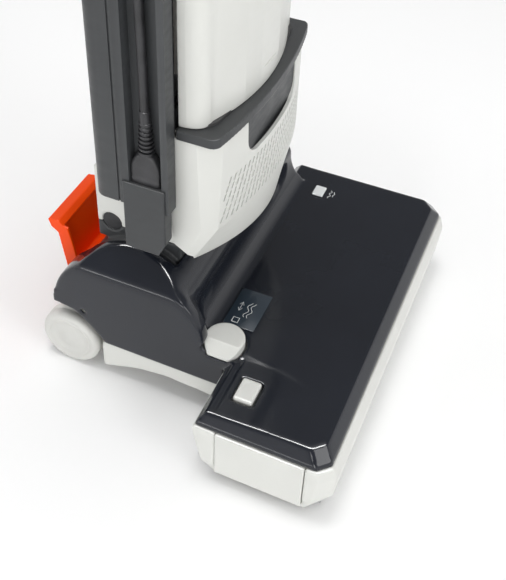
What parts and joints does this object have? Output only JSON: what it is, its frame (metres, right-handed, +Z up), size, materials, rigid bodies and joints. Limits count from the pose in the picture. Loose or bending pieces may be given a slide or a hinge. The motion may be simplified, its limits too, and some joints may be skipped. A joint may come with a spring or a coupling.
{
  "type": "commercial upright vacuum cleaner",
  "caption": "Commercial upright vacuum cleaner: wide brush head on wheels, with a tilting body that holds the fan motor, bag bay, wound mains lead and loop handle.",
  "frame": {"origin": "on the floor under the centre of the machine's footprint, leads left out", "axes": "+Z up, -Y is the front in the direction of pushing, -X is the end-cap side of the brush head"},
  "size_m": [0.374, 0.335, 1.22],
  "materials": {
    "cover_gloss": "glossy moulded, fine texture",
    "body_dark": "fine moulded grain",
    "shell_light": "satin moulded",
    "accent_orange": "satin moulded",
    "part_black": "satin moulded",
    "wheel_light": "satin, tyre tread slightly worn",
    "rubber_black": "matt",
    "steel": "brushed",
    "motor_metal": "plain",
    "bristle": "stiff nylon tufts",
    "bag_cloth": "nonwoven filter fleece",
    "filter_foam": "open foam",
    "cord_rubber": "matt flexible sheath",
    "plug_black": "satin moulded",
    "board_green": "circuit board",
    "lens_white": "translucent lens"
  },
  "bodies": {
    "head": {"head_cover": "cover_gloss", "head_base": "shell_light", "brush_tunnel": "part_black", "head_duct": "part_black", "sole_plate": "steel", "sole_screws": "steel", "brush_bearing_near": "steel", "brush_bearing_far": "steel", "brush_motor": "motor_metal", "drive_belt": "rubber_black", "wheel_axles": "steel", "level_plate": "part_black", "brush_indicator": "lens_white", "drive_board": "board_green", "pivot_bushes": "part_black", "rear_lip": "rubber_black"},
    "brush": {"brush_roller": "accent_orange", "brush_bristles": "bristle"},
    "motor_shaft": {"motor_pulley": "steel"},
    "end_cap": {"end_cap": "shell_light"},
    "release_button": {"release_button": "shell_light"},
    "knob": {"height_knob": "shell_light", "height_screw": "part_black"},
    "carriage": {"height_carriage": "part_black"},
    "roller_near": {"front_roller_near": "wheel_light"},
    "roller_far": {"front_roller_far": "wheel_light"},
    "wheel_near": {"rear_wheel_near": "wheel_light"},
    "wheel_far": {"rear_wheel_far": "wheel_light"},
    "upright": {"neck": "shell_light", "pivot_pins": "steel", "motor_housing": "shell_light", "body_ledge": "body_dark", "exhaust_filter": "filter_foam", "fan_motor": "motor_metal", "inlet_filter": "filter_foam", "body_spine": "body_dark", "lead_socket": "body_dark", "dust_duct": "part_black", "spine_screws": "steel", "dust_bag": "bag_cloth", "bag_collar": "accent_orange", "bay_floor_seal": "rubber_black", "top_housing": "body_dark", "handle_tube": "steel", "handle_collar": "body_dark", "handle_grip": "body_dark", "lower_cord_hook": "body_dark", "pedal_pin": "steel", "lead_connector": "plug_black", "cord_run": "cord_rubber", "cord_hank": "cord_rubber", "mains_plug": "plug_black", "cord_clip": "part_black"},
    "fan": {"fan_rotor": "part_black"},
    "bag_cover": {"bag_cover": "shell_light"},
    "cover_latch": {"cover_latch": "accent_orange"},
    "power_switch": {"power_switch": "accent_orange"},
    "upper_hook": {"upper_cord_hook": "body_dark"},
    "pedal": {"foot_pedal": "accent_orange"}
  },
  "joints": [
    {"name": "body_recline", "type": "hinge", "parent": "head", "child": "upright", "pos_m": [0.016, 0.0635, 0.102], "axis": [-1, 0, 0], "range_deg": [0, 72]},
    {"name": "brush_spin", "type": "hinge", "parent": "head", "child": "brush", "pos_m": [0, -0.1005, 0.037], "axis": [1, 0, 0], "continuous": true},
    {"name": "motor_spin", "type": "hinge", "parent": "head", "child": "motor_shaft", "pos_m": [0.17, -0.0325, 0.046], "axis": [1, 0, 0], "continuous": true},
    {"name": "end_cap_slide", "type": "slide", "parent": "head", "child": "end_cap", "axis": [-1, 0, 0], "range_m": [0, 0.05]},
    {"name": "release_button_press", "type": "slide", "parent": "head", "child": "release_button", "axis": [0, 0, -1], "range_m": [0, 0.003], "stiffness_N_per_m": 400, "springref_m": -0.001},
    {"name": "height_knob_turn", "type": "hinge", "parent": "head", "child": "knob", "pos_m": [-0.101, -0.0295, 0.09], "axis": [0, 0, 1], "range_deg": [0, 120]},
    {"name": "carriage_lift", "type": "slide", "parent": "head", "child": "carriage", "axis": [0, 0, 1], "range_m": [0, 0.0045]},
    {"name": "front_roller_near_spin", "type": "hinge", "parent": "carriage", "child": "roller_near", "pos_m": [-0.078, -0.0505, 0.009], "axis": [1, 0, 0], "continuous": true},
    {"name": "front_roller_far_spin", "type": "hinge", "parent": "carriage", "child": "roller_far", "pos_m": [0.078, -0.0505, 0.009], "axis": [1, 0, 0], "continuous": true},
    {"name": "rear_wheel_near_spin", "type": "hinge", "parent": "head", "child": "wheel_near", "pos_m": [-0.108, 0.1318, 0.0319], "axis": [1, 0, 0], "continuous": true},
    {"name": "rear_wheel_far_spin", "type": "hinge", "parent": "head", "child": "wheel_far", "pos_m": [0.14, 0.1318, 0.0319], "axis": [1, 0, 0], "continuous": true},
    {"name": "fan_spin", "type": "hinge", "parent": "upright", "child": "fan", "pos_m": [0.03, 0.0335, 0.262], "axis": [1, 0, 0], "continuous": true},
    {"name": "bag_cover_open", "type": "hinge", "parent": "upright", "child": "bag_cover", "pos_m": [0.005, -0.0171, 0.315], "axis": [1, 0, 0], "range_deg": [0, 75]},
    {"name": "cover_latch_press", "type": "slide", "parent": "upright", "child": "cover_latch", "axis": [0, 1, 0], "range_m": [0, 0.003], "stiffness_N_per_m": 400, "springref_m": -0.001},
    {"name": "power_switch_rock", "type": "hinge", "parent": "upright", "child": "power_switch", "pos_m": [0.07, -0.0125, 0.9625], "axis": [1, 0, 0], "range_deg": [0, 12]},
    {"name": "upper_hook_turn", "type": "hinge", "parent": "upright", "child": "upper_hook", "pos_m": [0.005, 0.1115, 0.9], "axis": [0, 1, 0], "range_deg": [0, 180]},
    {"name": "pedal_press", "type": "hinge", "parent": "upright", "child": "pedal", "pos_m": [-0.04, 0.1305, 0.096], "axis": [-1, 0, 0], "range_deg": [0, 10], "stiffness_Nm_per_rad": 2, "springref_deg": -3.44}
  ],
  "couplings": [
    {"joint": "carriage_lift", "follows": "height_knob_turn", "m_per_rad": 0.00214},
    {"joint": "motor_spin", "follows": "brush_spin", "ratio": 1.594}
  ]
}
